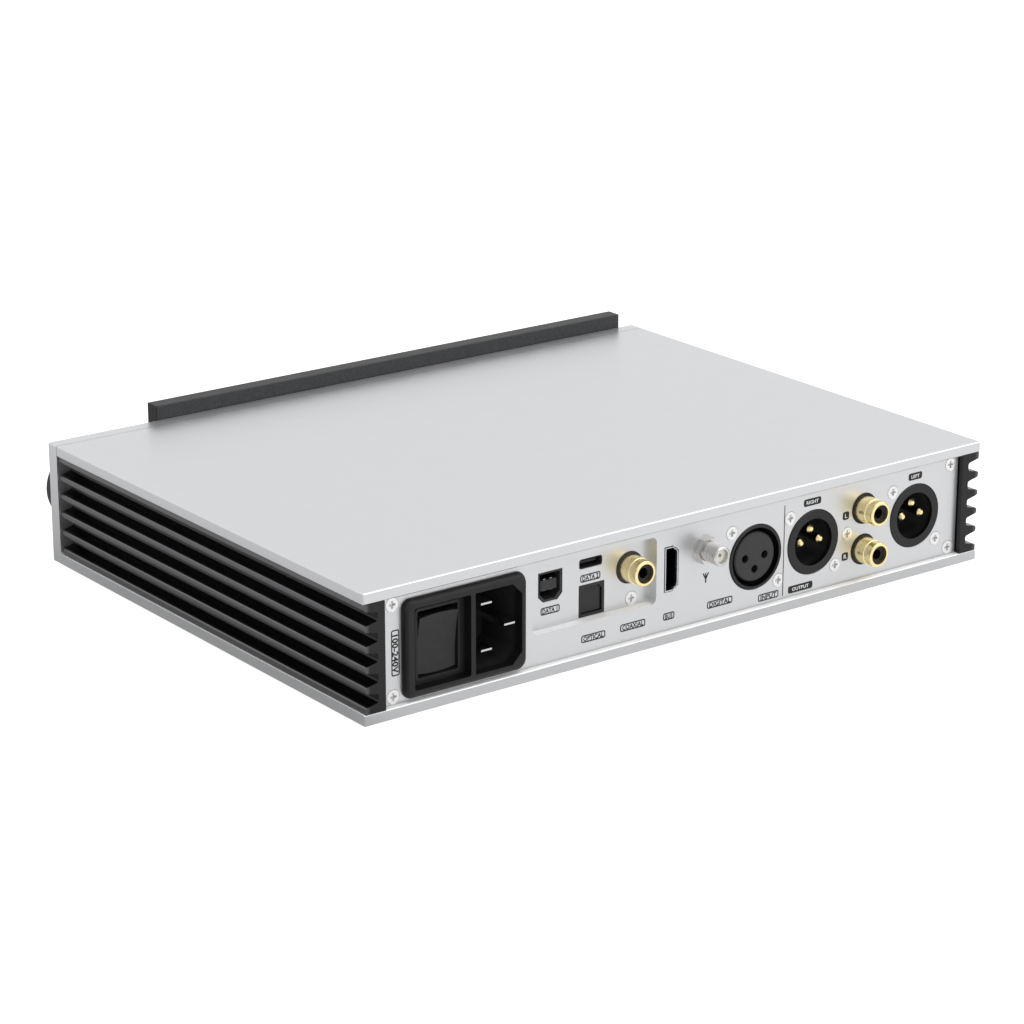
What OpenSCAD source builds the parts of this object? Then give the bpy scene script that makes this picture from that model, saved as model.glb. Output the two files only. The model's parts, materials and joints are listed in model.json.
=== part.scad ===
// Desktop digital-to-analogue converter: a slim metal case with finned sides, a display bar
// and a volume knob in front, and the power inlet and audio sockets on the rear panel.
// Millimetres. +X is the right-hand side seen from the front, the front faces -Y and +Z is up.
// The origin is on the surface that the feet stand on, under the middle of the whole object.

/* [Case] */
// Width of the case over the top and base plates
body_w = 250; // [249:1:264]
// Depth from the front panel's face to the rear edge of the plates
body_d = 186; // [184:1:200]
// Height from the underside of the base to the top of the lid
body_h = 41.7; // [41.4:0.1:46]
// Thickness of the base plate and the top plate
plate_t = 3.6; // [3.4:0.1:3.7]
// Thickness of the front panel
front_t = 5.5; // [5:0.1:6]
// Thickness of the rear panel
rear_t = 5; // [4.8:0.1:5.4]
// Distance of the rear panel's face inside the rear edge of the plates
rear_recess = 2; // [1:0.1:3]
// Chamfer on the edges of the plates
edge_c = 0.3; // [0.2:0.1:0.8]
// Gap at the seams between the plates and the panels
seam = 0.2; // [0.1:0.02:0.4]
// Height of the feet under the base
foot_h = 3; // [2:0.5:6]
// Diameter of a foot
foot_d = 14; // [12:1:18]

/* [Side extrusions] */
// Thickness of a side extrusion from its inner face to the fin tips
side_t = 7.2; // [6.8:0.1:7.6]
// Distance of the fin tips inside the edges of the plates
side_inset = 0.6; // [0.3:0.1:1.2]
// Number of grooves in each side
groove_n = 5; // [3:1:5]
// Distance from one groove to the next
groove_pitch = 6.41; // [6.2:0.01:6.6]
// Depth of a groove
groove_depth = 4.6; // [3:0.1:5]
// Height of a groove at its root
groove_root = 2.6; // [1.5:0.1:3]
// Height of a groove at its mouth
groove_mouth = 4.6; // [3.5:0.1:5]
// Radius on the corners of the fin tips
fin_r = 0.7; // [0.3:0.1:0.8]
// Radius on the corners of a groove's root
root_r = 0.8; // [0.2:0.1:0.9]

/* [Display bar and knob] */
// Left end of the display bar, seen from the front
bar_x0 = -118.9; // [-122:0.1:-110]
// Right end of the display bar
bar_x1 = 82.9; // [76:0.1:86]
// Height of the display bar's lower edge above the underside of the base
bar_z0 = 5; // [3:0.5:8]
// Height of the display bar
bar_h = 41.7; // [40:0.1:44]
// Thickness of the display bar in front of the panel
bar_t = 6; // [5.5:0.1:8]
// Diameter of the knob
knob_d = 26.8; // [22:0.2:28]
// Distance of the knob's face in front of the front panel
knob_out = 15.5; // [14.5:0.5:20]
// Middle of the knob, from the middle of the case
knob_x = 105; // [103:0.1:106]
// Height of the knob's middle above the underside of the base
knob_z = 19.8; // [18:0.1:21]

/* [Power inlet] */
// Middle of the inlet module, from the middle of the case
inlet_x = 87.5; // [86:0.1:89]
// Width of the module's rim
rim_w = 42.5; // [42:0.1:44]
// Height of the module's rim
rim_h = 27.2; // [26.5:0.1:28]
// Distance of the rim in front of the rear panel
rim_out = 2.4; // [1.5:0.1:3]
// Width of the rocker
rocker_w = 14; // [12:0.5:15]
// Height of the rocker
rocker_h = 19.4; // [16:0.1:20]
// Angle that the rocker turns through from off to on
rocker_throw = 10; // [6:1:12]

/* [Rear sockets] */
// Middle of the milled pocket, from the middle of the case
pocket_x = 37.2; // [36:0.1:38]
// Width of the milled pocket
pocket_w = 48.6; // [47:0.1:49]
// Height of the milled pocket
pocket_h = 22.1; // [21.5:0.1:23]
// Depth of the milled pocket
pocket_t = 3.3; // [2:0.1:3.5]
// Middle of the input socket with three holes
xlr_in_x = -27.9; // [-28.5:0.1:-27]
// Middle of the right channel's socket with three pins
xlr_right_x = -52.5; // [-53:0.1:-52]
// Middle of the left channel's socket with three pins
xlr_left_x = -97.4; // [-98:0.1:-97]
// Diameter of the large round sockets
xlr_d = 22; // [21:0.1:23]
// Middle of the phono outputs
phono_x = -74.7; // [-75.2:0.1:-74]
// Height between the two phono outputs
phono_pitch = 14.1; // [13.5:0.1:15]
// Diameter of a phono socket's lip
phono_d = 8.3; // [8:0.1:8.6]
// Distance of a phono barrel's mouth in front of the face it stands on
phono_out = 8; // [7:0.1:9]
// Distance of the antenna socket's mouth in front of the rear panel
jack_out = 9.2; // [8.5:0.1:12]

/* [Hidden] */

$fn = 48;
eps = 0.01;
fit = 0.05;               // clearance round a screw, a pin or a bush
sink_gap = 0.15;          // clearance round a countersunk head

// Planes of the case. yf is set so that the knob and the antenna socket reach equally far.
yf = (knob_out - (body_d - rear_recess + jack_out)) / 2;
yb = yf + body_d;
yp = yb - rear_recess;    // face of the rear panel
yi = yp - rear_t;         // inside of the rear panel
y_pocket = yp - pocket_t; // floor of the milled pocket
y_card = yi - 16;         // face of the upright boards behind the sockets
z0 = foot_h;              // underside of the base
z1 = z0 + plate_t;        // top of the base
z3 = z0 + body_h;         // top of the lid
z2 = z3 - plate_t;        // underside of the lid
mid_z = body_h / 2;
side_x = body_w / 2 - side_inset - side_t;

// Fasteners
screw_d = 2.5;
head_d = 4.4;
tie_x = side_x - 10.7;
tie_y = [yf + 24, yf + 150];
tie_d = 3;
tie_head_d = 5.6;
post_d = 7;
panel_c = 0.15;            // chamfer on the edges of the rear panel
foot_x = body_w / 2 - 30;
foot_y = [yf + 30, yb - 30];
boss_x = side_x - 3.9;
boss_z = [6.25, 35.35];
boss_d = 5;

// Boards
board_t = 1.6;
standoff_h = 5.4;
z_board = z1 + standoff_h;
z_parts = z_board + board_t;
main_x = [-101, 44];
main_y = [yf + 38, y_card - board_t - 6];
power_x = [50, 101];
power_y = [yf + 34, yf + 150];
card_z = [5.6, 36];
input_card_x = [1, 62];
output_card_x = [-110, -14];
front_card_x = [-40, 109];
front_card_z = [8.5, 33.5];
y_front_card = yf + front_t + 8;

// Sockets, heights above the underside of the base
pocket_z = 24.75;
inlet_z = 20.3;
rim_y = yp + rim_out;
inlet_depth = 24;
cup_wall = 0.9;
well_wall = 1.8;
well_w = 20.7;
partition_t = 1.65;
cup_w = rim_w - cup_wall - well_wall - well_w - partition_t;
cup_h = rim_h - 1.2;
well_x = inlet_x + rim_w / 2 - well_wall - well_w / 2;
cup_x = inlet_x - rim_w / 2 + cup_wall + cup_w / 2;
shell_w = rim_w + 0.9;
shell_h = rim_h + 1.6;
well_depth = 3.6;
rocker_depth = 2.8;
rocker_axis_depth = 8.5;
rocker_pin_d = 2.4;
xlr_z = 20.65;
xlr_x = [xlr_right_x, xlr_left_x];
xlr_screw = 10;
phono_z = 20.65;
coax_x = 21.1;
coax_z = 26.6;
phono_washer_d = 10.5;
phono_washer_t = 0.2;
phono_bore = 6.3;
phono_shank_d = 8;
insert_recess = 1.2;       // depth of a phono insert's face inside its barrel
usb_b_x = 52.2;
usb_b_z = 27.1;
usb_c_x = 36.5;
usb_c_z = 31.5;
optical_x = 36.1;
optical_z = 19.3;
optical_w = 10;
optical_h = 10.6;
mouth_w = 8.2;
mouth_h = 8.6;
mouth_c = 1.2;
nose_gap = 0.1;            // the data sockets' noses end this far inside the pocket's floor
bus_x = 6.9;
bus_z = 24;
bus_gap = 0.3;             // between the bus port's shell and the edge of its hole
jack_x = -6.3;
jack_z = 27.8;
jack_d = 6.35;
jack_shank_d = 5.6;
jack_washer_t = 0.7;
jack_nut_t = 2.4;
jack_insert_t = 6;

// Display and knob
glass_t = 1.8;
glass_margin = 1.2;
module_t = 2.4;
ribbon_x = -20;
ribbon_z = 12;
shaft_d = 6;
bush_d = 7;
push_travel = 0.5;
knob_gap = 1.2;
knob_recess_d = 17;
knob_recess = 7;
display_screw_x = [bar_x0 + 12, bar_x1 - 12];
display_screw_z = [12, 33];

function unit(v) = v / norm(v);

// Arc points that round corner b of a path a, b, c with radius r
function corner(a, b, c, r, n = 4) =
    let (u = unit(a - b), v = unit(c - b), half = acos(u * v) / 2)
    let (o = b + unit(u + v) * r / sin(half), p = b + u * r / tan(half) - o, q = b + v * r / tan(half) - o)
    let (start = atan2(p.y, p.x), turn = atan2(q.y, q.x) - start)
    let (sweep = turn > 180 ? turn - 360 : turn < -180 ? turn + 360 : turn)
    [for (i = [0:n]) o + r * [cos(start + sweep * i / n), sin(start + sweep * i / n)]];

// Puts flat shapes on the rear: local X and Y stay X and Z, and local Z points out of the rear
module rear(x, y, z) {
    translate([x, y, z0 + z]) rotate([90, 0, 0]) mirror([0, 0, 1]) children();
}

// Puts flat shapes on the front: local Z points out of the front
module front(x, y, z) {
    translate([x, y, z0 + z]) rotate([90, 0, 0]) children();
}

module cut_rect(w, h, c) {
    polygon([[c, 0], [w - c, 0], [w, c], [w, h - c], [w - c, h], [c, h], [0, h - c], [0, c]]);
}

module round_rect(w, h, r) {
    square([w - 2 * r, h], center = true);
    square([w, h - 2 * r], center = true);
    for (x = [r - w / 2, w / 2 - r], y = [r - h / 2, h / 2 - r])
        translate([x, y]) circle(r);
}

// A slot with round ends, w long and h high
module stadium(w, h) {
    square([w - h, h], center = true);
    for (x = [(h - w) / 2, (w - h) / 2]) translate([x, 0]) circle(d = h);
}

// A plate with every edge chamfered, its corner at the origin
module plate(w, d, h, c) {
    intersection() {
        linear_extrude(h) cut_rect(w, d, c);
        translate([0, d, 0]) rotate([90, 0, 0]) linear_extrude(d) cut_rect(w, h, c);
        rotate([90, 0, 90]) linear_extrude(w) cut_rect(d, h, c);
    }
}

// Countersunk screw, its head's face at the origin and its shank along -Z
module csk_screw(d, head, length) {
    cone = (head - d) / 2;
    difference() {
        union() {
            translate([0, 0, -cone]) cylinder(h = cone, d1 = d, d2 = head);
            translate([0, 0, -length]) cylinder(h = length - cone + eps, d = d);
        }
        for (a = [0, 90]) rotate(a)
            translate([-head * 0.28, -head * 0.09, -head * 0.24]) cube([head * 0.56, head * 0.18, head]);
    }
}

// Hole that a countersunk screw sits in, with clearance all round
module csk_hole(d, head, length) {
    cone = (head - d) / 2;
    translate([0, 0, -cone]) cylinder(h = cone, d1 = d + 2 * fit, d2 = head + 2 * sink_gap);
    cylinder(h = 1, d = head + 2 * sink_gap);
    translate([0, 0, -length]) cylinder(h = length, d = d + 2 * fit);
}

// Pan-head screw, the underside of its head at the origin and its shank along -Z
module pan_screw(d, head, length) {
    difference() {
        union() {
            cylinder(h = head * 0.32, d = head);
            translate([0, 0, -length]) cylinder(h = length, d = d);
        }
        for (a = [0, 90]) rotate(a)
            translate([-head * 0.27, -head * 0.07, head * 0.16]) cube([head * 0.54, head * 0.14, head]);
    }
}

module rod(a, b, d) {
    v = b - a;
    translate(a) rotate([0, acos(v.z / norm(v)), atan2(v.y, v.x)]) cylinder(h = norm(v), d = d);
}

// A wire along a list of points
module wire(points, d) {
    for (i = [0:len(points) - 2]) rod(points[i], points[i + 1], d);
    for (i = [1:len(points) - 2]) translate(points[i]) sphere(d = d * 1.06);
}

// ---- Case ----

module base_profile() {
    c = edge_c;
    fillet_r = 1.2;
    inner = corner([yb, z1], [yf + front_t, z1], [yf + front_t, z3], fillet_r, 6);
    polygon(concat(
        [[yf, z0 + c], [yf + c, z0], [yb - c, z0], [yb, z0 + c], [yb, z1 - c], [yb - c, z1]],
        inner,
        [[yf + front_t, z3], [yf + c, z3], [yf, z3 - c]]
    ));
}

module base_shell() {
    color([0.80, 0.81, 0.83]) difference() {
        intersection() {
            translate([-body_w / 2, 0, 0]) rotate([90, 0, 90]) linear_extrude(body_w) base_profile();
            translate([-body_w / 2, yb, z0]) rotate([90, 0, 0]) linear_extrude(body_d)
                cut_rect(body_w, body_h, edge_c);
            translate([-body_w / 2, yf, z0]) linear_extrude(body_h) cut_rect(body_w, body_d, edge_c);
        }
        for (x = [-tie_x, tie_x], y = tie_y) translate([x, y, z0]) rotate([180, 0, 0])
            csk_hole(tie_d, tie_head_d, plate_t + 1);
        for (x = [-foot_x, foot_x], y = foot_y) translate([x, y, z0 - 1])
            cylinder(h = plate_t + 2, d = screw_d + 2 * fit);
        standoff_places() translate([0, 0, -2.5]) cylinder(h = 3, d = screw_d + 2 * fit);
        front(knob_x, yf + front_t + 1, knob_z) cylinder(h = front_t + 2, d = bush_d + 2 * fit);
        front(ribbon_x, yf + front_t + 1, ribbon_z) linear_extrude(front_t + 2) stadium(24, 3);
        display_screw_places() translate([0, 0, -front_t - 1]) cylinder(h = front_t + 2, d = 2 + 2 * fit);
        for (x = front_card_posts_x(), z = front_card_posts_z()) front(x, yf + front_t + 1, z)
            cylinder(h = 3.5, d = 2 + 2 * fit);
    }
}

module top_plate() {
    start = yf + front_t + seam;
    color([0.84, 0.85, 0.87]) difference() {
        union() {
            translate([-body_w / 2, start, z2]) intersection() {
                translate([0, -1, 0]) plate(body_w, yb - start + 1, plate_t, edge_c);
                cube([body_w, yb - start, plate_t]);
            }
            for (x = [-tie_x, tie_x], y = tie_y) translate([x, y, z1])
                cylinder(h = z2 - z1 + 1, d = post_d);
        }
        for (x = [-tie_x, tie_x], y = tie_y) translate([x, y, z1 - 1]) cylinder(h = 11, d = tie_d + 2 * fit);
    }
}

// One side of the outline, with rounded fin tips, from the bottom up
function side_outline() =
    let (tip = side_t, root = side_t - groove_depth, top = body_h - 2 * plate_t)
    let (flank = groove_mouth / 2, floor = groove_root / 2)
    concat([[0, 0], [tip, 0]], [for (k = [0:groove_n - 1])
        let (z = top / 2 + (k - (groove_n - 1) / 2) * groove_pitch)
        let (path = [[tip, z - flank - 1], [tip, z - flank], [root, z - floor], [root, z + floor],
                     [tip, z + flank], [tip, z + flank + 1]])
        each concat(corner(path[0], path[1], path[2], fin_r), corner(path[1], path[2], path[3], root_r),
                    corner(path[2], path[3], path[4], root_r), corner(path[3], path[4], path[5], fin_r))
    ], [[tip, top], [0, top]]);

module side_extrusion() {
    start = yf + front_t + seam;
    color([0.13, 0.13, 0.14]) difference() {
        union() {
            translate([side_x, yb, z1]) rotate([90, 0, 0]) linear_extrude(yb - start)
                polygon(side_outline());
            for (z = boss_z) {
                rear(boss_x, start, z) cylinder(h = yi - start, d = boss_d);
                translate([boss_x, start, z0 + z - boss_d / 2])
                    cube([side_x - boss_x + 0.5, yi - start, boss_d]);
            }
        }
        for (z = boss_z) rear(boss_x, yi - 12, z) cylinder(h = 13, d = screw_d + 2 * fit);
        translate([side_x, start, z1]) rotate([45, 0, 0]) cube([30, 1.8, 1.8], center = true);
    }
}

// The body's left and right are its own, seen from the front
module side_extrusion_right() { side_extrusion(); }

module side_extrusion_left() { mirror([1, 0, 0]) side_extrusion(); }

module tie_screws() {
    color([0.55, 0.56, 0.58]) for (x = [-tie_x, tie_x], y = tie_y)
        translate([x, y, z0]) rotate([180, 0, 0]) csk_screw(tie_d, tie_head_d, 12);
}

module rear_panel_screws() {
    color([0.86, 0.86, 0.87]) for (x = [-boss_x, boss_x], z = boss_z)
        rear(x, yp, z) csk_screw(screw_d, head_d, 14);
}

module feet() {
    color([0.08, 0.08, 0.08]) for (x = [-foot_x, foot_x], y = foot_y) translate([x, y, 0]) difference() {
        union() {
            cylinder(h = 0.6, d1 = foot_d - 1.2, d2 = foot_d);
            translate([0, 0, 0.6]) cylinder(h = foot_h - 0.6, d = foot_d);
        }
        translate([0, 0, -1]) cylinder(h = foot_h - 0.2, d = 5.4);
        cylinder(h = foot_h + 1, d = screw_d + 2 * fit);
    }
}

module foot_screws() {
    color([0.55, 0.56, 0.58]) for (x = [-foot_x, foot_x], y = foot_y)
        translate([x, y, foot_h - 1.2]) rotate([180, 0, 0]) difference() {
            union() {
                translate([0, 0, -4.4]) cylinder(h = 4.5, d = screw_d);
                cylinder(h = 1.3, d = 4.8);
            }
            translate([0, 0, 0.6]) cylinder(h = 1, d = 2, $fn = 6);
        }
}

// ---- Rear panel ----

module bus_outline(grow = 0) {
    w = 5.2;
    h = 14.6;
    tall = w / 2 + grow;
    long = h / 2 + grow;
    polygon([
        [tall, -long], [tall, long], [-0.6, long], [-1.4, long - 0.8], [-1.8, long - 0.8],
        [-tall, long - 1.9], [-tall, 1.9 - long], [-1.8, 0.8 - long], [-1.4, 0.8 - long], [-0.6, -long]
    ]);
}

module usb_b_outline(grow = 0) {
    w = 9.3 / 2 + grow;
    h = 9.8 / 2 + grow;
    polygon([[-w, 2 - h], [2 - w, -h], [w - 2, -h], [w, 2 - h], [w, h], [-w, h]]);
}

module xlr_screw_places() {
    for (x = concat([xlr_in_x], xlr_x), s = [-1, 1])
        rear(x + s * xlr_screw, yp, xlr_z + s * xlr_screw) children();
}

module connector_screw_places() {
    xlr_screw_places() children();
    rear(phono_x + 7.2, yp, phono_z - 0.3) children();
    rear(coax_x - 0.8, y_pocket, coax_z - 10.4) children();
}

module rear_panel() {
    w = 2 * (side_x - 0.3);
    h = z2 - z1;
    color([0.87, 0.88, 0.90]) difference() {
        translate([-w / 2, yi, z1]) plate(w, rear_t, h, panel_c);
        rear(pocket_x, y_pocket, pocket_z) linear_extrude(pocket_t + 1) round_rect(pocket_w, pocket_h, 2);
        rear(inlet_x, yi - 1, inlet_z) linear_extrude(rear_t + 2)
            round_rect(shell_w + 0.2, shell_h + 0.2, 1.5);
        rear(usb_b_x, yi - 1, usb_b_z) linear_extrude(rear_t) usb_b_outline(fit);
        rear(usb_c_x, yi - 1, usb_c_z) linear_extrude(rear_t) round_rect(9.1, 3.3, 0.9);
        rear(optical_x, yi - 1, optical_z) linear_extrude(rear_t) round_rect(10.1, 10.7, 0.3);
        rear(bus_x, yi - 1, bus_z) linear_extrude(rear_t + 2) bus_outline(bus_gap);
        rear(coax_x, yi - 1, coax_z) cylinder(h = rear_t, d = phono_washer_d + 2 * fit);
        for (s = [-0.5, 0.5]) rear(phono_x, yi - 1, phono_z + s * phono_pitch)
            cylinder(h = rear_t + 2, d = phono_washer_d + 2 * fit);
        for (x = concat([xlr_in_x], xlr_x)) rear(x, yi - 1, xlr_z)
            cylinder(h = rear_t + 2, d = xlr_d + 2 * fit, $fn = 72);
        rear(jack_x, yi - 1, jack_z) cylinder(h = rear_t + 2, d = jack_shank_d + 2 * fit);
        for (x = [-boss_x, boss_x], z = boss_z) rear(x, yp, z) csk_hole(screw_d, head_d, rear_t + 1);
        connector_screw_places() csk_hole(screw_d, head_d, rear_t + 1);
    }
}

module connector_screws() {
    color([0.86, 0.86, 0.87]) {
        xlr_screw_places() csk_screw(screw_d, head_d, rear_t + 2.2);
        rear(phono_x + 7.2, yp, phono_z - 0.3) csk_screw(screw_d, head_d, rear_t + 4);
        rear(coax_x - 0.8, y_pocket, coax_z - 10.4) csk_screw(screw_d, head_d, rear_t - pocket_t + 4);
    }
}

// ---- Power inlet ----

// The bezel rises from the panel to the rim in a quarter of an ellipse, inside a rounded outline
module inlet_bezel() {
    spread_x = 1.4;
    spread_z = 2.2;
    slice = 0.02;
    steps = 6;
    rear(inlet_x, yp, inlet_z) hull() for (i = [0:steps]) {
        turn = 90 * i / steps;
        translate([0, 0, (rim_out - slice) * sin(turn)]) linear_extrude(slice)
            round_rect(rim_w + 2 * spread_x * cos(turn), rim_h + 2 * spread_z * cos(turn), 3, $fn = 32);
    }
}

module cup_outline() {
    w = cup_w / 2;
    h = cup_h / 2;
    c = 3.6;
    polygon([[c - w, -h], [w, -h], [w, h], [c - w, h], [-w, h - c], [-w, c - h]]);
}

// Places of the blades: line, neutral and earth, each with its tip's depth under the rim
function blades() = [[cup_x + 2.2, inlet_z + 7.5, 3.5], [cup_x + 2.2, inlet_z - 7.5, 3.5],
                     [cup_x - 5, inlet_z, 1.5]];

module inlet_housing() {
    back_wall = 3;
    color([0.16, 0.16, 0.17]) difference() {
        union() {
            inlet_bezel();
            rear(inlet_x, rim_y - inlet_depth, inlet_z) linear_extrude(inlet_depth - rim_out + eps)
                round_rect(shell_w, shell_h, 1.5);
        }
        rear(cup_x, rim_y - inlet_depth + back_wall, inlet_z) linear_extrude(inlet_depth) cup_outline();
        rear(well_x, rim_y - inlet_depth - 1, inlet_z) linear_extrude(inlet_depth + 2)
            round_rect(well_w, cup_h, 0.8);
        for (b = blades()) rear(b.x, rim_y - inlet_depth - 1, b.y)
            linear_extrude(inlet_depth) square([4 + 2 * fit, 2 + 2 * fit], center = true);
    }
}

// A blade along local Z, bevelled on both faces to a thin tip
module blade(length) {
    bevel = 3.5;
    intersection() {
        linear_extrude(length) square([4, 2], center = true);
        translate([-3, 0, 0]) rotate([90, 0, 90]) linear_extrude(6) polygon([
            [-1, 0], [1, 0], [1, length - bevel], [0.3, length], [-0.3, length], [-1, length - bevel]
        ]);
    }
}

module inlet_blades() {
    tab = 8;
    color([0.88, 0.88, 0.86]) for (b = blades()) rear(b.x, rim_y - inlet_depth, b.y) {
        blade(inlet_depth - b.z);
        translate([0, 0, -tab]) linear_extrude(tab + eps) square([4.8, 0.8], center = true);
    }
}

module switch_body() {
    opening_w = rocker_w + 0.7;
    opening_h = rocker_h + 1.8;
    depth = inlet_depth - well_depth;
    y_axis = rim_y - rocker_axis_depth;
    color([0.14, 0.14, 0.15]) difference() {
        union() {
            rear(well_x, rim_y - inlet_depth, inlet_z) linear_extrude(depth)
                round_rect(well_w - 2 * fit, cup_h - 2 * fit, 0.8);
            rear(well_x, rim_y - well_depth - eps, inlet_z) linear_extrude(0.8)
                round_rect(opening_w + 1.8, opening_h + 1.8, 1.2);
        }
        rear(well_x, rim_y - inlet_depth + 4, inlet_z) linear_extrude(inlet_depth)
            round_rect(opening_w, opening_h, 0.5);
        translate([well_x - well_w / 2 + 1.2, y_axis, z0 + inlet_z]) rotate([0, 90, 0])
            cylinder(h = well_w - 2.4, d = rocker_pin_d + 2 * fit);
    }
    color([0.85, 0.78, 0.55]) for (s = [-1, 1]) rear(well_x, rim_y - inlet_depth - 7, inlet_z + s * 5)
        linear_extrude(7) square([4.8, 0.8], center = true);
}

// Side view of the rocker: y is depth and z is height, with a gently hollow face
function rocker_side() =
    let (face_r = 70, half = rocker_h / 2, dip = face_r - sqrt(face_r * face_r - half * half), n = 8)
    concat([for (i = [0:n]) let (z = -half + rocker_h * i / n)
        [rocker_axis_depth - rocker_depth - (dip - face_r + sqrt(face_r * face_r - z * z)), z]],
        [[1.5, half - 0.9], [-3, half - 4], [-3, 4 - half], [1.5, 0.9 - half]]);

// Front view of the rocker: its two ends are slightly arched
module rocker_front() {
    arch_r = 40;
    n = 8;
    end = [for (i = [0:n]) let (x = -rocker_w / 2 + rocker_w * i / n)
        [x, rocker_h / 2 - arch_r + sqrt(arch_r * arch_r - x * x)]];
    polygon(concat(end, [for (i = [n:-1:0]) [end[i].x, -end[i].y]]));
}

module mains_rocker() {
    y_axis = rim_y - rocker_axis_depth;
    color([0.22, 0.22, 0.23]) translate([well_x, y_axis, z0 + inlet_z]) rotate([-rocker_throw / 2, 0, 0]) {
        intersection() {
            translate([-rocker_w / 2, 0, 0]) rotate([90, 0, 90]) linear_extrude(rocker_w)
                polygon(rocker_side());
            rotate([90, 0, 0]) linear_extrude(30, center = true) rocker_front();
        }
        translate([-rocker_w / 2 - 1.6, 0, 0]) rotate([0, 90, 0])
            cylinder(h = rocker_w + 3.2, d = rocker_pin_d);
    }
}

// ---- Digital inputs ----

module usb_b_socket() {
    color([0.14, 0.14, 0.15]) {
        difference() {
            union() {
                rear(usb_b_x, y_card, usb_b_z) linear_extrude(yi - y_card) square([12, 11.6], center = true);
                rear(usb_b_x, yi - eps, usb_b_z) linear_extrude(y_pocket - yi - 0.3) usb_b_outline();
            }
            rear(usb_b_x, y_card + 3, usb_b_z) linear_extrude(20) usb_b_outline(-0.7);
        }
        rear(usb_b_x, y_card + 3 - eps, usb_b_z + 0.2) linear_extrude(yi - y_card - 2.2)
            square([6.2, 3.3], center = true);
    }
}

module usb_c_socket() {
    color([0.12, 0.12, 0.12]) difference() {
        rear(usb_c_x, y_card, usb_c_z) linear_extrude(y_nose - y_card) round_rect(8.95, 3.15, 0.8);
        rear(usb_c_x, y_card + 6, usb_c_z) linear_extrude(20) round_rect(8.4, 2.6, 0.6);
    }
    color([0.08, 0.08, 0.08]) rear(usb_c_x, y_card + 6 - eps, usb_c_z) linear_extrude(10)
        square([6.6, 0.7], center = true);
}

// The optical socket's shutter hangs on a hinge at the top of the mouth and opens inwards
hinge_r = 0.6;
shutter_t = 0.9;
shutter_depth = 0.6;       // distance of the shutter's face inside the mouth
hinge_z = optical_z + mouth_h / 2 - 1;
y_nose = y_pocket - nose_gap;
y_hinge = y_nose - shutter_depth - shutter_t / 2;

module mouth_outline(grow = 0) {
    w = mouth_w / 2 + grow;
    h = mouth_h / 2 + grow;
    polygon([[-w, -h], [w, -h], [w, h - mouth_c], [w - mouth_c, h], [mouth_c - w, h], [-w, h - mouth_c]]);
}

module optical_socket() {
    color([0.15, 0.15, 0.16]) difference() {
        union() {
            rear(optical_x, y_card, optical_z) linear_extrude(yi - y_card) square([13, 13], center = true);
            rear(optical_x, yi - eps, optical_z) linear_extrude(y_nose - yi + eps)
                round_rect(optical_w, optical_h, 0.4);
        }
        rear(optical_x, y_card + 3, optical_z) linear_extrude(20) mouth_outline();
        rear(optical_x, y_card + 3, optical_z) linear_extrude(y_hinge + shutter_t / 2 + fit - y_card - 3)
            square([9.2, 9.2], center = true);
        translate([optical_x - 5.3, y_hinge, z0 + hinge_z]) rotate([0, 90, 0])
            cylinder(h = 10.6, r = hinge_r + fit);
    }
}

module optical_shutter() {
    color([0.10, 0.10, 0.11]) {
        rear(optical_x, y_hinge - shutter_t / 2, optical_z) linear_extrude(shutter_t) mouth_outline(-0.2);
        translate([optical_x - 4.9, y_hinge, z0 + hinge_z]) rotate([0, 90, 0]) cylinder(h = 9.8, r = hinge_r);
    }
}

module bus_port() {
    color([0.62, 0.63, 0.65]) rear(bus_x, y_card, bus_z) linear_extrude(yp - y_card + 0.1) difference() {
        bus_outline();
        bus_outline(-0.35);
    }
}

// Insulator that fills the back of the bus port and carries its contacts on a tongue
module bus_insert() {
    color([0.07, 0.07, 0.07]) {
        rear(bus_x, y_card, bus_z) linear_extrude(6) bus_outline(-0.4);
        rear(bus_x + 0.4, y_card + 6 - eps, bus_z) linear_extrude(12.4) square([1.2, 11], center = true);
    }
}

// ---- Phono sockets ----

// Each phono socket's middle, height and the face that it stands on
function phonos() = [[coax_x, coax_z, y_pocket], [phono_x, phono_z + phono_pitch / 2, yp],
                     [phono_x, phono_z - phono_pitch / 2, yp]];

module phono_housings() {
    color([0.12, 0.12, 0.13]) {
        difference() {
            rear(coax_x, y_card, coax_z - 3.5) linear_extrude(yi - y_card) square([12, 18], center = true);
            rear(coax_x, y_card + 8, coax_z) cylinder(h = 20, d = phono_shank_d + 2 * fit);
            rear(coax_x - 0.8, yi - 6, coax_z - 10.4) cylinder(h = 10, d = screw_d + 2 * fit);
        }
        difference() {
            rear(phono_x + 1.2, y_card, phono_z) linear_extrude(yi - y_card) square([16, 28], center = true);
            for (s = [-0.5, 0.5]) rear(phono_x, y_card + 8, phono_z + s * phono_pitch)
                cylinder(h = 20, d = phono_shank_d + 2 * fit);
            rear(phono_x + 7.2, yi - 6, phono_z - 0.3) cylinder(h = 10, d = screw_d + 2 * fit);
        }
    }
}

module phono_washers() {
    color([0.10, 0.10, 0.10]) for (p = phonos()) rear(p.x, yi, p.y) difference() {
        cylinder(h = p.z - yi + phono_washer_t, d = phono_washer_d);
        translate([0, 0, -1]) cylinder(h = 20, d = phono_shank_d + 2 * fit);
    }
}

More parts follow.
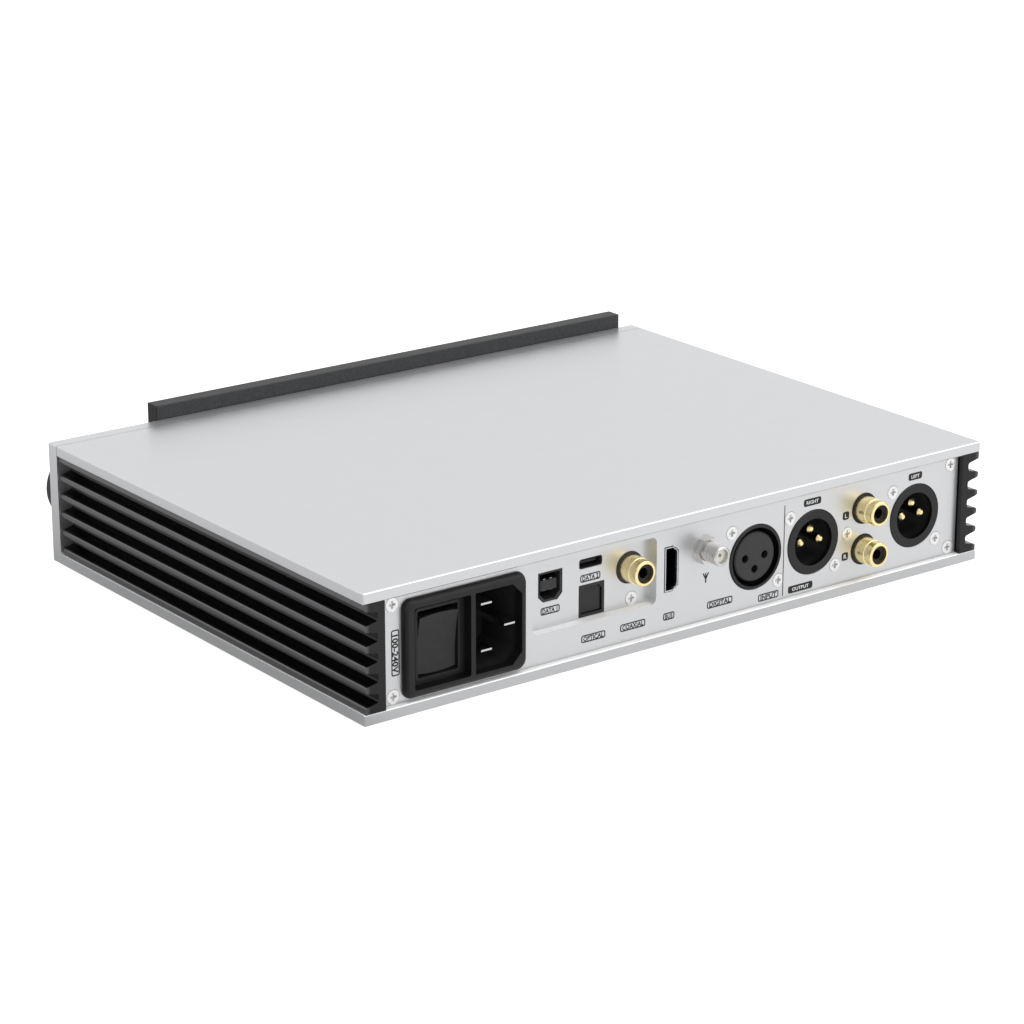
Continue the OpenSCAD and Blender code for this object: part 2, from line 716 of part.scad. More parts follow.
// Barrel with a thick foot and a slimmer lip that a plug's sleeve grips, hollow from end to end
module phono_barrel(out) {
    shank = phono_shank_d / 2;
    foot_r = 4.4;
    lip = phono_d / 2;
    foot = phono_washer_t;
    lip_length = 3;
    rotate_extrude() polygon(concat(
        [[phono_bore / 2, -12], [shank, -12], [shank, foot], [foot_r, foot]],
        [[foot_r, out - lip_length - 0.2], [lip, out - lip_length]],
        corner([lip, out - lip_length], [lip, out], [phono_bore / 2, out], 0.5, 4),
        [[phono_bore / 2, out]]
    ));
}

module phono_barrels() {
    color([0.93, 0.80, 0.45]) for (p = phonos()) rear(p.x, p.z, p.y) difference() {
        phono_barrel(phono_out);
        translate([0, 0, yi - 8 - p.z - 20]) cylinder(h = 20, d = 12);
    }
}

module phono_inserts() {
    color([0.09, 0.09, 0.09]) for (p = phonos()) rear(p.x, yi - 8, p.y) difference() {
        cylinder(h = p.z - yi + 8 + phono_out - insert_recess, d = phono_bore - 2 * fit);
        translate([0, 0, 4]) cylinder(h = 24, d = 3.4);
    }
}

// ---- Antenna socket ----

module antenna_jack() {
    thread = jack_washer_t + jack_nut_t;
    tip_c = 0.4;
    color([0.87, 0.87, 0.86]) rear(jack_x, yi, jack_z) difference() {
        union() {
            translate([0, 0, -9]) cylinder(h = 7, d = 5);
            translate([0, 0, -2.4]) cylinder(h = 2.4, d = 9.2, $fn = 6);
            cylinder(h = rear_t + thread + eps, d = jack_shank_d);
            translate([0, 0, rear_t + thread]) cylinder(h = jack_out - thread - tip_c, d = jack_d);
            translate([0, 0, rear_t + jack_out - tip_c])
                cylinder(h = tip_c, d1 = jack_d, d2 = jack_d - 2 * tip_c);
        }
        translate([0, 0, rear_t + jack_out - jack_insert_t]) cylinder(h = 10, d = 4.6);
        translate([0, 0, -5]) cylinder(h = 20, d = 1.4);
    }
}

module antenna_nut() {
    color([0.90, 0.90, 0.88]) rear(jack_x, yp, jack_z) difference() {
        union() {
            cylinder(h = jack_washer_t, d = 9.4);
            translate([0, 0, jack_washer_t]) cylinder(h = jack_nut_t, d = 9.2, $fn = 6);
        }
        translate([0, 0, -1]) cylinder(h = 10, d = jack_shank_d + 2 * fit);
    }
}

module antenna_insert() {
    color([0.93, 0.92, 0.88]) rear(jack_x, yp + jack_out - jack_insert_t, jack_z) difference() {
        cylinder(h = 4.6, d = 4.6 - 2 * fit);
        translate([0, 0, -1]) cylinder(h = 10, d = 1.4);
    }
}

module antenna_lead() {
    d = 1.4;
    x = jack_x;
    color([0.25, 0.25, 0.27]) wire([
        [x, yi - 9, z0 + jack_z], [x, yi - 13, z0 + jack_z], [x, yi - 22, z0 + jack_z - 2],
        [x - 4, yi - 34, z_parts + 9], [x - 6, yi - 40, z_parts + 6.5]
    ], d);
}

// ---- Three-pole sockets ----

module xlr_flange() {
    linear_extrude(2) difference() {
        round_rect(24.4, 28, 3);
        for (s = [-1, 1]) translate([s * xlr_screw, s * xlr_screw]) circle(d = screw_d + 2 * fit);
    }
}

module xlr_input_shell() {
    color([0.24, 0.24, 0.25]) rear(xlr_in_x, 0, xlr_z) difference() {
        union() {
            translate([0, 0, yi - 2]) xlr_flange();
            translate([0, 0, y_card]) cylinder(h = yi - 2 - y_card + eps, d = xlr_d - 1.2, $fn = 72);
            translate([0, 0, yi - eps]) cylinder(h = rear_t - 0.2, d = xlr_d, $fn = 72);
            translate([0, 0, yp - 0.2 - eps]) cylinder(h = 0.5, d1 = xlr_d, d2 = xlr_d - 1, $fn = 72);
        }
        translate([0, 0, y_card + 6]) cylinder(h = 30, d = 19.6, $fn = 72);
    }
}

module xlr_input_insert() {
    length = yp - y_card - 6.6;
    color([0.26, 0.26, 0.27]) rear(xlr_in_x, y_card + 6, xlr_z) difference() {
        union() {
            cylinder(h = length, d = 16.6, $fn = 72);
            translate([0, 0, length - eps]) cylinder(h = 0.4, d1 = 16.6, d2 = 15.8, $fn = 72);
        }
        for (a = [0, 180, 270]) rotate(a) translate([4.1, 0, 4]) cylinder(h = 20, d = 2.7);
    }
}

module xlr_output_shells() {
    color([0.20, 0.20, 0.21]) for (x = xlr_x) rear(x, 0, xlr_z) difference() {
        union() {
            translate([0, 0, yi - 2]) xlr_flange();
            translate([0, 0, y_card]) cylinder(h = yi - 2 - y_card + eps, d = xlr_d - 1.2, $fn = 72);
            translate([0, 0, yi - eps]) cylinder(h = rear_t - 0.2, d = xlr_d, $fn = 72);
            translate([0, 0, yp - 0.2 - eps]) cylinder(h = 0.5, d1 = xlr_d, d2 = xlr_d - 1, $fn = 72);
        }
        translate([0, 0, y_card + 6]) cylinder(h = 30, d = 15.9, $fn = 72);
        for (a = [0, 90, 180]) rotate(a) translate([4.1, 0, y_card - 1]) cylinder(h = 20, d = 2.6 + 2 * fit);
    }
}

module xlr_output_pins() {
    color([0.93, 0.80, 0.45]) for (x = xlr_x, a = [0, 90, 180]) rear(x, y_card, xlr_z)
        rotate(a) translate([4.1, 0, 0]) {
            cylinder(h = yp - y_card - 1.6, d = 2.6);
            translate([0, 0, yp - y_card - 1.6 - eps]) cylinder(h = 0.8, d1 = 2.6, d2 = 1.4);
        }
}

// ---- Display bar ----

module display_screw_places() {
    for (x = display_screw_x, z = display_screw_z) rear(x, yf + front_t, z) children();
}

module display_frame() {
    w = bar_x1 - bar_x0;
    mx = (bar_x0 + bar_x1) / 2;
    mz = bar_z0 + bar_h / 2;
    color([0.17, 0.17, 0.18]) difference() {
        translate([bar_x0, yf - bar_t, z0 + bar_z0]) plate(w, bar_t, bar_h, edge_c);
        front(mx, yf - bar_t + glass_t + module_t, mz) linear_extrude(10)
            round_rect(w - 2 * glass_margin, bar_h - 2 * glass_margin, 0.6);
        front(ribbon_x, yf + 1, ribbon_z) linear_extrude(10) stadium(24, 3);
        display_screw_places() translate([0, 0, -front_t - 10]) cylinder(h = 12, d = 2 + 2 * fit);
    }
}

module display_glass() {
    w = bar_x1 - bar_x0 - 2 * glass_margin - 0.2;
    h = bar_h - 2 * glass_margin - 0.2;
    color([0.03, 0.03, 0.035]) front((bar_x0 + bar_x1) / 2, yf - bar_t + glass_t, bar_z0 + bar_h / 2)
        linear_extrude(glass_t) round_rect(w, h, 0.5);
}

module display_module() {
    w = bar_x1 - bar_x0 - 2 * glass_margin - 26;
    h = bar_h - 2 * glass_margin - 4;
    color([0.20, 0.24, 0.28])
        front((bar_x0 + bar_x1) / 2, yf - bar_t + glass_t + module_t - 0.2, bar_z0 + bar_h / 2)
            linear_extrude(module_t - 0.2) square([w, h], center = true);
}

module display_screws() {
    color([0.55, 0.56, 0.58]) display_screw_places() pan_screw(2, 4, front_t + 1.2);
}

module display_ribbon() {
    start = yf - bar_t + glass_t + module_t - 0.2;
    color([0.75, 0.55, 0.25]) rear(ribbon_x, start, ribbon_z) linear_extrude(y_front_card - start)
        square([20, 0.4], center = true);
}

// ---- Knob and encoder ----

module knob() {
    tip = knob_out - knob_gap;
    bore = tip - 3;
    color([0.12, 0.12, 0.13]) front(knob_x, yf - knob_gap, knob_z) difference() {
        rotate_extrude($fn = 96) polygon(concat([[0, 0], [knob_d / 2 - 0.5, 0], [knob_d / 2, 0.5]],
            corner([knob_d / 2, 0], [knob_d / 2, tip], [0, tip], 0.9, 5), [[0, tip]]));
        translate([0, 0, -1]) cylinder(h = knob_recess + 1, d = knob_recess_d);
        cylinder(h = bore, d = shaft_d + 2 * fit);
        translate([0, 0, knob_recess + 2.4]) rotate([90, 0, 0]) cylinder(h = 20, d = screw_d + 2 * fit);
    }
}

module knob_grub_screw() {
    color([0.55, 0.56, 0.58])
        front(knob_x, yf - knob_gap, knob_z) translate([0, -shaft_d / 2 - 0.1, knob_recess + 2.4])
            rotate([90, 0, 0]) difference() {
                cylinder(h = 6, d = screw_d);
                translate([0, 0, 5]) cylinder(h = 2, d = 1.3, $fn = 6);
            }
}

bush_out = 3.2;           // how far the encoder's bush stands in front of the panel
encoder_w = 13;
encoder_t = 8;
shaft_tail = 3;           // how far the shaft reaches into the encoder

module encoder_shaft() {
    color([0.80, 0.80, 0.80]) front(knob_x, yf + front_t + shaft_tail, knob_z)
        cylinder(h = front_t + shaft_tail + knob_out - 3.4, d = shaft_d);
}

module encoder_body() {
    color([0.45, 0.46, 0.48]) difference() {
        union() {
            front(knob_x, yf + front_t + encoder_t, knob_z) linear_extrude(encoder_t)
                square([encoder_w, encoder_w], center = true);
            front(knob_x, yf + front_t + eps, knob_z) cylinder(h = front_t + bush_out, d = bush_d);
        }
        front(knob_x, yf + front_t + encoder_t - 1.4, knob_z) cylinder(h = 30, d = shaft_d + 2 * fit);
    }
}

module encoder_nut() {
    color([0.80, 0.80, 0.80]) front(knob_x, yf, knob_z) difference() {
        cylinder(h = 2, d = 11.5, $fn = 6);
        translate([0, 0, -1]) cylinder(h = 5, d = bush_d + 2 * fit);
    }
}

module encoder_plunger() {
    color([0.85, 0.85, 0.80]) front(knob_x, yf + front_t + shaft_tail + 0.3 + 2, knob_z)
        cylinder(h = 2, d = shaft_d - 0.2);
}

// ---- Boards and what stands on them ----

function front_card_posts_x() = [front_card_x[0] + 6, 84];
function front_card_posts_z() = [front_card_z[0] + 3.5, front_card_z[1] - 3.5];

module front_board() {
    w = front_card_x[1] - front_card_x[0];
    h = front_card_z[1] - front_card_z[0];
    color([0.10, 0.28, 0.18]) difference() {
        union() {
            translate([front_card_x[0], y_front_card, z0 + front_card_z[0]]) cube([w, board_t, h]);
            rear(10, y_front_card + board_t - eps, mid_z) linear_extrude(1.4) square([14, 14], center = true);
            rear(50, y_front_card + board_t - eps, mid_z) linear_extrude(1.2) square([9, 9], center = true);
        }
        for (x = front_card_posts_x(), z = front_card_posts_z()) rear(x, y_front_card - 1, z)
            cylinder(h = 5, d = 2.2);
    }
}

module front_ribbon() {
    t = 0.5;
    drop = z0 + front_card_z[0] + 4;
    start = y_front_card + board_t;
    stop = main_y[0] + 6;
    color([0.72, 0.72, 0.70]) translate([-30, 0, 0]) rotate([90, 0, 90]) linear_extrude(24) polygon([
        [start, drop + 8], [start + 5, drop + 8], [stop - 6, z_parts + 5], [stop, z_parts + 5],
        [stop, z_parts], [stop + t, z_parts], [stop + t, z_parts + 5 + t], [stop - 6, z_parts + 5 + t],
        [start + 5, drop + 8 + t], [start, drop + 8 + t]
    ]);
}

module upright_board(x) {
    translate([x[0], y_card - board_t, z0 + card_z[0]]) cube([x[1] - x[0], board_t, card_z[1] - card_z[0]]);
}

module input_board() { color([0.10, 0.28, 0.18]) upright_board(input_card_x); }

module output_board() { color([0.10, 0.28, 0.18]) upright_board(output_card_x); }

module board_links() {
    gap = y_card - board_t - main_y[1];
    color([0.12, 0.12, 0.13]) for (place = [[-90, 36], [-45, 24], [6, 30]])
        translate([place[0], main_y[1] - 8, z_parts]) cube([place[1], 8 + gap, 6]);
}

module standoff_places() {
    inset = 5;
    for (x = [main_x[0] + inset, main_x[1] - inset], y = [main_y[0] + inset, main_y[1] - 22])
        translate([x, y, z1]) children();
    for (x = [power_x[0] + inset, power_x[1] - inset], y = [power_y[0] + inset, power_y[1] - 12])
        translate([x, y, z1]) children();
}

module standoffs() {
    color([0.83, 0.70, 0.40]) {
        standoff_places() difference() {
            union() {
                cylinder(h = standoff_h, d = 5.8, $fn = 6);
                translate([0, 0, -2.2]) cylinder(h = 2.2 + eps, d = screw_d);
            }
            translate([0, 0, 1.5]) cylinder(h = 10, d = 2 + 2 * fit);
        }
        for (x = front_card_posts_x(), z = front_card_posts_z()) rear(x, yf + front_t, z) difference() {
            union() {
                cylinder(h = encoder_t, d = 4.6, $fn = 6);
                translate([0, 0, -2.2]) cylinder(h = 2.2 + eps, d = 2);
            }
            translate([0, 0, 3]) cylinder(h = 10, d = 1.6 + 2 * fit);
        }
    }
}

module board_screws() {
    color([0.70, 0.70, 0.72]) {
        standoff_places() translate([0, 0, standoff_h + board_t]) pan_screw(2, 4.2, 5);
        for (x = front_card_posts_x(), z = front_card_posts_z())
            rear(x, y_front_card + board_t, z) pan_screw(1.6, 3.6, 5);
    }
}

module flat_board(x, y) {
    difference() {
        translate([x[0], y[0], z_board]) cube([x[1] - x[0], y[1] - y[0], board_t]);
        standoff_places() cylinder(h = 20, d = 2.3);
    }
}

module main_board() { color([0.08, 0.22, 0.15]) flat_board(main_x, main_y); }

module power_board() { color([0.10, 0.26, 0.16]) flat_board(power_x, power_y); }

// Chips on the main board: x, y, width, depth and height of each group, then its columns, rows and pitch
chip_groups = [
    [-74, 70, 12, 12, 1.4, 2, 1, 44],    // converters
    [-84, 96, 5, 4, 1.5, 6, 2, 12],      // output amplifiers
    [-10, 58, 14, 14, 1.2, 1, 1, 0],     // signal processor
    [-36, 64, 3.2, 2.5, 0.9, 2, 2, 6]    // clocks
];

module main_chips() {
    color([0.07, 0.07, 0.08]) for (g = chip_groups, i = [0:g[5] - 1], j = [0:g[6] - 1])
        translate([g[0] + i * g[7], yf + g[1] + j * g[7], z_parts]) cube([g[2], g[3], g[4]]);
}

module filter_capacitors() {
    color([0.15, 0.25, 0.45]) for (i = [0:5], j = [0:1])
        translate([-86 + i * 12, yf + 54 + j * 76, z_parts]) {
            cylinder(h = 11, d = 8);
        }
    color([0.70, 0.12, 0.12]) for (i = [0:3]) translate([-88 + i * 22, yf + 86, z_parts]) cube([13, 5, 9]);
}

module shield_can() {
    color([0.75, 0.76, 0.78]) translate([0, yf + 88, z_parts]) difference() {
        cube([36, 30, 5.5]);
        translate([0.4, 0.4, -1]) cube([35.2, 29.2, 6.1]);
    }
    color([0.75, 0.76, 0.78]) translate([-18, yf + 118, z_parts]) difference() {
        cube([16, 14, 3]);
        translate([0.4, 0.4, -1]) cube([15.2, 13.2, 3.6]);
    }
}

module power_transformer() {
    translate([74, yf + 82, z_parts]) {
        color([0.25, 0.25, 0.26]) difference() {
            translate([-16, -13, 0]) cube([32, 26, 22]);
            for (s = [-1, 1]) translate([s * 8 - 4, -14, 4]) cube([8, 28, 14]);
        }
        color([0.80, 0.65, 0.20]) translate([0, 0, 4 + fit]) for (s = [-1, 1])
            translate([s * 8 - 4 + fit, -15, 0]) cube([8 - 2 * fit, 30, 14 - 2 * fit]);
    }
}

module bulk_capacitors() {
    color([0.10, 0.10, 0.14]) for (x = [66, 86]) translate([x, yf + 112, z_parts]) {
        cylinder(h = 23, d = 16);
        translate([0, 0, 23 - eps]) cylinder(h = 0.6, d = 14.6);
    }
}

module power_chokes() {
    color([0.70, 0.45, 0.20]) for (x = [64, 86]) translate([x, yf + 54, z_parts + 4.5])
        rotate_extrude() translate([6, 0]) circle(d = 8.6);
}

module mains_leads() {
    stop = power_y[1] - 8;
    d = 2.2;
    for (i = [0:2]) {
        b = blades()[i];
        x = 66 + i * 8;
        start = rim_y - inlet_depth - 8;
        color([[0.45, 0.25, 0.12], [0.15, 0.35, 0.75], [0.35, 0.60, 0.15]][i]) wire([
            [b.x, start, z0 + b.y], [b.x, start - 4, z0 + b.y], [x, start - 9, z_parts + 8],
            [x, stop, z_parts + 6], [x, stop, z_parts]
        ], d);
    }
}

module power_harness() {
    d = 1.8;
    for (i = [0:3]) {
        y = yf + 60 + i * 3;
        color(i % 2 == 0 ? [0.75, 0.12, 0.10] : [0.12, 0.12, 0.12]) wire([
            [54, y, z_parts], [54, y, z_parts + 6], [47, y, z_parts + 9], [38, y, z_parts + 6], [38, y, z_parts]
        ], d);
    }
}

base_shell();
top_plate();
rear_panel();
side_extrusion_left();
side_extrusion_right();
tie_screws();
rear_panel_screws();
feet();
foot_screws();
display_frame();
display_glass();
display_module();
display_screws();
display_ribbon();
knob();
knob_grub_screw();
encoder_shaft();
encoder_body();
encoder_nut();
encoder_plunger();
front_board();
inlet_housing();
inlet_blades();
switch_body();
mains_rocker();
usb_b_socket();
usb_c_socket();
optical_socket();
optical_shutter();
bus_port();
bus_insert();
phono_housings();
phono_washers();
phono_barrels();
phono_inserts();
antenna_jack();
antenna_nut();
antenna_insert();
antenna_lead();
xlr_input_shell();
xlr_input_insert();
xlr_output_shells();
xlr_output_pins();
connector_screws();
input_board();
output_board();
board_links();
main_board();
main_chips();
filter_capacitors();
shield_can();
power_board();
power_transformer();
bulk_capacitors();
power_chokes();
standoffs();
board_screws();
mains_leads();
power_harness();
front_ribbon();
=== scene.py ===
"""Looks of the desktop audio converter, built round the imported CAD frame. All lengths are metres."""
import json
from math import cos, pi, sin

import bmesh
import bpy
from mathutils import Matrix, Vector


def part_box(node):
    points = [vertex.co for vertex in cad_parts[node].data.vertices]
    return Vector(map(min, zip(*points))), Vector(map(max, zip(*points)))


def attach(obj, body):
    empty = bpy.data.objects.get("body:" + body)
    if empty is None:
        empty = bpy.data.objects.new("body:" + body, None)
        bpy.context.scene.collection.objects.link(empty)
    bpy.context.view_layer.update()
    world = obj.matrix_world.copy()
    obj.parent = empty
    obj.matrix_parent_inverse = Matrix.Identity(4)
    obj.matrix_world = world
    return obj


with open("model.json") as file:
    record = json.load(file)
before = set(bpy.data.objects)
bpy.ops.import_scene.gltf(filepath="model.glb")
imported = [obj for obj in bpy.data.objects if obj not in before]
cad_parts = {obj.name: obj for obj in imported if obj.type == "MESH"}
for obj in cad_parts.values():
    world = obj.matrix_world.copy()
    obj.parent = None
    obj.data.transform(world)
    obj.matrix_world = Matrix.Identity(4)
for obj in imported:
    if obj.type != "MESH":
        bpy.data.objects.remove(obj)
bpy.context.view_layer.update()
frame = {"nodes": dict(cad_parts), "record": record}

MM = 0.001
nodes = frame["nodes"]
scene = bpy.context.scene

# Places that everything else is worked out from
PANEL_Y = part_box("rear_panel")[1][1]          # outer face of the rear panel
POCKET_DEPTH = 3.3 * MM
POCKET_Y = PANEL_Y - POCKET_DEPTH             # floor of the milled pocket
BASE_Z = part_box("base_shell")[0][2]           # underside of the base
LID_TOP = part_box("top_plate")[1][2]
LID_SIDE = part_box("top_plate")[1][0]
FIN_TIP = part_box("side_extrusion_right")[1][0]
BASE_T = 3.6 * MM                             # thickness of the base plate
THREAD_R = 3.175 * MM                         # outer radius of the antenna socket's thread


def middle(node):
    """The middle of a node's box."""
    low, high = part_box(node)
    return (Vector(low) + Vector(high)) / 2


# ---- Materials ----

class Surface:
    """A Principled material with its noise-driven colour, roughness and bump."""

    def __init__(self, name, colour, metallic=0.0, roughness=0.5, ior=1.5):
        self.material = bpy.data.materials.new(name)
        self.material.use_nodes = True
        self.tree = self.material.node_tree
        self.bsdf = self.tree.nodes["Principled BSDF"]
        self.colour = colour
        self.roughness = roughness
        self.bsdf.inputs["Metallic"].default_value = metallic
        self.bsdf.inputs["IOR"].default_value = ior
        coordinates = self.tree.nodes.new("ShaderNodeTexCoord")
        self.place = coordinates.outputs["Object"]
        self.face = coordinates.outputs["Normal"]
        self.normal = None

    def link(self, source, target):
        self.tree.links.new(source, target)

    def noise(self, size, detail=3.0, stretch=(1, 1, 1)):
        """Noise whose features are about size across, from 0 to 1."""
        mapping = self.tree.nodes.new("ShaderNodeMapping")
        mapping.inputs["Scale"].default_value = stretch
        self.link(self.place, mapping.inputs["Vector"])
        node = self.tree.nodes.new("ShaderNodeTexNoise")
        node.inputs["Scale"].default_value = 1 / size
        node.inputs["Detail"].default_value = detail
        self.link(mapping.outputs["Vector"], node.inputs["Vector"])
        return node.outputs["Fac"]

    def spread(self, source, low, high):
        """Maps the middle of a noise's range onto low to high."""
        node = self.tree.nodes.new("ShaderNodeMapRange")
        node.inputs["From Min"].default_value = 0.3
        node.inputs["From Max"].default_value = 0.7
        node.inputs["To Min"].default_value = low
        node.inputs["To Max"].default_value = high
        self.link(source, node.inputs["Value"])
        return node.outputs["Result"]

    def mottle(self, size, amount, other=None, stretch=(1, 1, 1)):
        """Colour that drifts by amount, or towards the other colour."""
        mix = self.tree.nodes.new("ShaderNodeMix")
        mix.data_type = "RGBA"
        dark = [c * (1 - amount) for c in self.colour]
        light = [min(1, c * (1 + amount)) for c in (other or self.colour)]
        mix.inputs["A"].default_value = (*dark, 1)
        mix.inputs["B"].default_value = (*light, 1)
        self.link(self.spread(self.noise(size, stretch=stretch), 0, 1), mix.inputs["Factor"])
        self.link(mix.outputs["Result"], self.bsdf.inputs["Base Color"])
        return self

    def sheen_map(self, size, amount, stretch=(1, 1, 1)):
        """Roughness that drifts by amount either way."""
        low = max(0.02, self.roughness - amount)
        source = self.spread(self.noise(size, stretch=stretch), low, self.roughness + amount)
        self.link(source, self.bsdf.inputs["Roughness"])
        return self

    def bump(self, size, height, detail=2.0, stretch=(1, 1, 1)):
        """Noisy relief of that height, laid over any earlier relief."""
        return self.relief(self.noise(size, detail, stretch), height)

    def relief(self, source, height):
        """Relief of that height where the source goes from 0 to 1, laid over any earlier relief."""
        node = self.tree.nodes.new("ShaderNodeBump")
        node.inputs["Strength"].default_value = 1
        node.inputs["Distance"].default_value = height
        self.link(source, node.inputs["Height"])
        if self.normal is not None:
            self.link(self.normal, node.inputs["Normal"])
        self.normal = node.outputs["Normal"]
        self.link(self.normal, self.bsdf.inputs["Normal"])
        return self

    def mask(self, source, low, high):
        """A mask that goes from 0 to 1 as the source goes from low to high."""
        node = self.tree.nodes.new("ShaderNodeMapRange")
        node.inputs["From Min"].default_value = low
        node.inputs["From Max"].default_value = high
        self.link(source, node.inputs["Value"])
        return node.outputs["Result"]

    def size_along(self, axis, vector):
        """The size of one part of a vector."""
        split = self.tree.nodes.new("ShaderNodeSeparateXYZ")
        self.link(vector, split.inputs["Vector"])
        size = self.tree.nodes.new("ShaderNodeMath")
        size.operation = "ABSOLUTE"
        self.link(split.outputs[axis], size.inputs[0])
        return size.outputs["Value"]

    def across(self, axis, low, high):
        """A mask that goes from 0 to 1 as the distance from the middle plane goes from low to high."""
        return self.mask(self.size_along(axis, self.place), low, high)

    def facing(self, axis):
        """A mask that is 1 on the faces square to one axis."""
        return self.mask(self.size_along(axis, self.face), 0.6, 0.9)

    def toward(self, direction, low=0.9, high=0.98):
        """A mask that is 1 on the faces that point along a direction."""
        dot = self.tree.nodes.new("ShaderNodeVectorMath")
        dot.operation = "DOT_PRODUCT"
        self.link(self.face, dot.inputs[0])
        dot.inputs[1].default_value = Vector(direction).normalized()
        return self.mask(dot.outputs["Value"], low, high)

    def radius(self, centre):
        """Distance from an axis along Y through the centre."""
        off = self.tree.nodes.new("ShaderNodeVectorMath")
        off.operation = "SUBTRACT"
        self.link(self.place, off.inputs[0])
        off.inputs[1].default_value = centre
        flat = self.tree.nodes.new("ShaderNodeVectorMath")
        flat.operation = "MULTIPLY"
        self.link(off.outputs["Vector"], flat.inputs[0])
        flat.inputs[1].default_value = (1, 0, 1)
        size = self.tree.nodes.new("ShaderNodeVectorMath")
        size.operation = "LENGTH"
        self.link(flat.outputs["Vector"], size.inputs[0])
        return size.outputs["Value"]

    def around(self, centre, low, high):
        """A mask that goes from 0 to 1 as the distance from an axis along Y goes from low to high."""
        return self.mask(self.radius(centre), low, high)

    def rings(self, centre, pitch, height):
        """Turning marks in rings round an axis along Y."""
        turns = self.tree.nodes.new("ShaderNodeMath")
        turns.operation = "MULTIPLY"
        turns.inputs[1].default_value = 2 * pi / pitch
        self.link(self.radius(centre), turns.inputs[0])
        wave = self.tree.nodes.new("ShaderNodeMath")
        wave.operation = "SINE"
        self.link(turns.outputs["Value"], wave.inputs[0])
        return self.relief(wave.outputs["Value"], height)

    def both(self, a, b):
        """The mask where two masks overlap."""
        node = self.tree.nodes.new("ShaderNodeMath")
        node.operation = "MULTIPLY"
        self.link(a, node.inputs[0])
        self.link(b, node.inputs[1])
        return node.outputs["Value"]

    def paint_highlight(self, mask, colour, metallic, roughness):
        """A painted highlight: another colour, metallic and roughness where the mask is 1."""
        tint = self.tree.nodes.new("ShaderNodeMix")
        tint.data_type = "RGBA"
        tint.inputs["B"].default_value = (*colour, 1)
        self.link(self.bsdf.inputs["Base Color"].links[0].from_socket, tint.inputs["A"])
        self.link(mask, tint.inputs["Factor"])
        self.link(tint.outputs["Result"], self.bsdf.inputs["Base Color"])
        for name, value in (("Metallic", metallic), ("Roughness", roughness)):
            target = self.bsdf.inputs[name]
            mix = self.tree.nodes.new("ShaderNodeMix")
            mix.inputs["A"].default_value = target.default_value
            mix.inputs["B"].default_value = value
            if target.links:
                self.link(target.links[0].from_socket, mix.inputs["A"])
            self.link(mask, mix.inputs["Factor"])
            self.link(mix.outputs["Result"], target)
        return self

    def shade(self, mask, share):
        """Colour that changes to a share of itself where the mask is 1."""
        target = self.bsdf.inputs["Base Color"]
        source = target.links[0].from_socket
        mix = self.tree.nodes.new("ShaderNodeMix")
        mix.data_type = "RGBA"
        mix.blend_type = "MULTIPLY"
        mix.inputs["B"].default_value = (share, share, share, 1)
        self.link(source, mix.inputs["A"])
        self.link(mask, mix.inputs["Factor"])
        self.link(mix.outputs["Result"], target)
        return self


def blasted_metal(name, colour, roughness, grain=0.22 * MM, height=0.004 * MM, speckle=0.03, metallic=1.0):
    """Bead-blasted and anodised aluminium: fine pits, a faint cloudiness and an even sheen."""
    surface = Surface(name, colour, metallic=metallic, roughness=roughness)
    return surface.mottle(grain * 1.4, speckle).sheen_map(9 * MM, 0.02).bump(grain, height)


def moulded(name, colour, roughness, grain=0.35 * MM, height=0.012 * MM, speckle=0.12):
    """Moulded plastic with a spark-eroded texture."""
    surface = Surface(name, colour, roughness=roughness, ior=1.4)
    return surface.mottle(2.5 * MM, speckle).sheen_map(3 * MM, 0.05).bump(grain, height)


def plated(name, colour, roughness, height=0.0015 * MM):
    """Plated metal with faint turning marks and finger-soft patches."""
    surface = Surface(name, colour, metallic=1.0, roughness=roughness)
    surface.mottle(1.5 * MM, 0.04).sheen_map(2 * MM, 0.05)
    return surface.bump(0.3 * MM, height, stretch=(1, 6, 1))


def sheet_metal(name, colour, roughness, along=(0.08, 1, 1)):
    """Rolled or drawn metal, streaked along one axis."""
    surface = Surface(name, colour, metallic=1.0, roughness=roughness)
    surface.mottle(0.4 * MM, 0.08, stretch=along).sheen_map(0.6 * MM, 0.08, stretch=along)
    return surface.bump(0.25 * MM, 0.002 * MM, stretch=along)


def circuit_board():
    """Solder mask over copper: a glossy green with the tracks' faint relief."""
    surface = Surface("circuit_board", (0.012, 0.075, 0.035), roughness=0.3)
    surface.mottle(1.8 * MM, 0.2, other=(0.02, 0.13, 0.06)).sheen_map(2 * MM, 0.06)
    return surface.bump(1.2 * MM, 0.03 * MM)


def display_lens():
    """Black cover lens, polished, with the faintest orange peel."""
    surface = Surface("display_glass", (0.004, 0.004, 0.005), roughness=0.07, ior=1.38)
    return surface.mottle(14 * MM, 0.15).sheen_map(30 * MM, 0.02).bump(12 * MM, 0.003 * MM)


def foot_rubber():
    """Matt black rubber."""
    surface = Surface("foot_rubber", (0.018, 0.018, 0.018), roughness=0.8)
    return surface.mottle(0.8 * MM, 0.25).sheen_map(1.5 * MM, 0.08).bump(0.4 * MM, 0.03 * MM)


